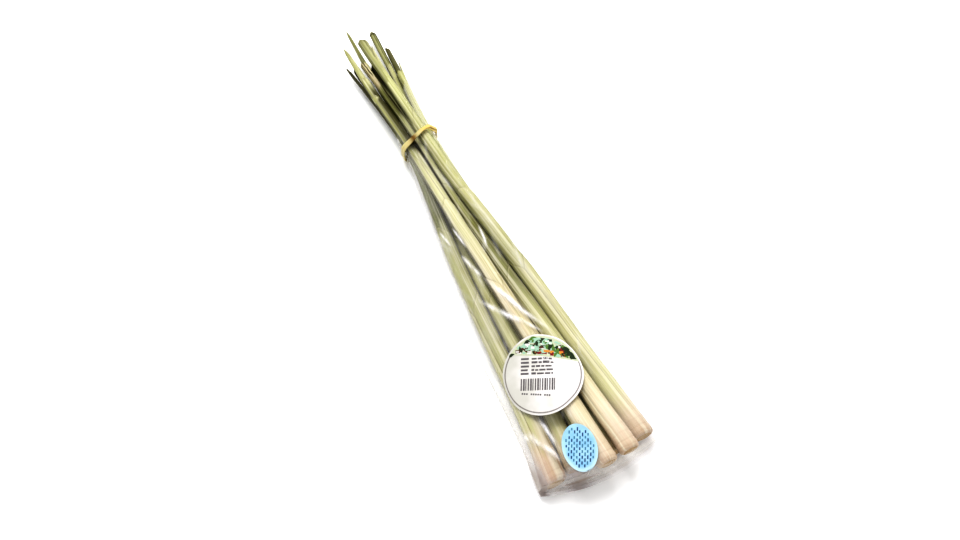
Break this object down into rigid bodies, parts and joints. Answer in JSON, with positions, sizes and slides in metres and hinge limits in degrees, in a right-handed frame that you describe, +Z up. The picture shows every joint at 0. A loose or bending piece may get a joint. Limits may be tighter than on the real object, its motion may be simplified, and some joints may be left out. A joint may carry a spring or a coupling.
{
  "type": "lemongrass bundle",
  "caption": "Bundle of cut lemongrass stalks lying flat in a clear film sleeve, gathered by a doubled rubber band, with a round paper label and a small oval sticker.",
  "frame": {"origin": "on the surface that the pack lies on, under the middle of its bounding box", "axes": "+Y along the stalks from the bulbs to the cut tops, +Z up, +X to the right as seen from the bulb end"},
  "size_m": [0.1032, 0.4536, 0.0373],
  "materials": {
    "cream_stem": "satin, fibrous leaf sheaths",
    "green_stem": "satin, fibrous leaf sheaths",
    "clear_film": "clear glossy film",
    "rubber": "matte natural rubber",
    "label_paper": "coated paper",
    "sticker_paper": "coated paper"
  },
  "bodies": {
    "root": {"stalk_outer_left": "cream_stem", "stalk_inner_left": "cream_stem", "stalk_front": "cream_stem", "stalk_front_right": "green_stem", "stalk_outer_right": "green_stem", "stalk_back_left": "green_stem", "stalk_back_right": "green_stem", "film_sleeve": "clear_film", "rubber_band": "rubber", "round_label": "label_paper", "oval_sticker": "sticker_paper"}
  },
  "joints": []
}
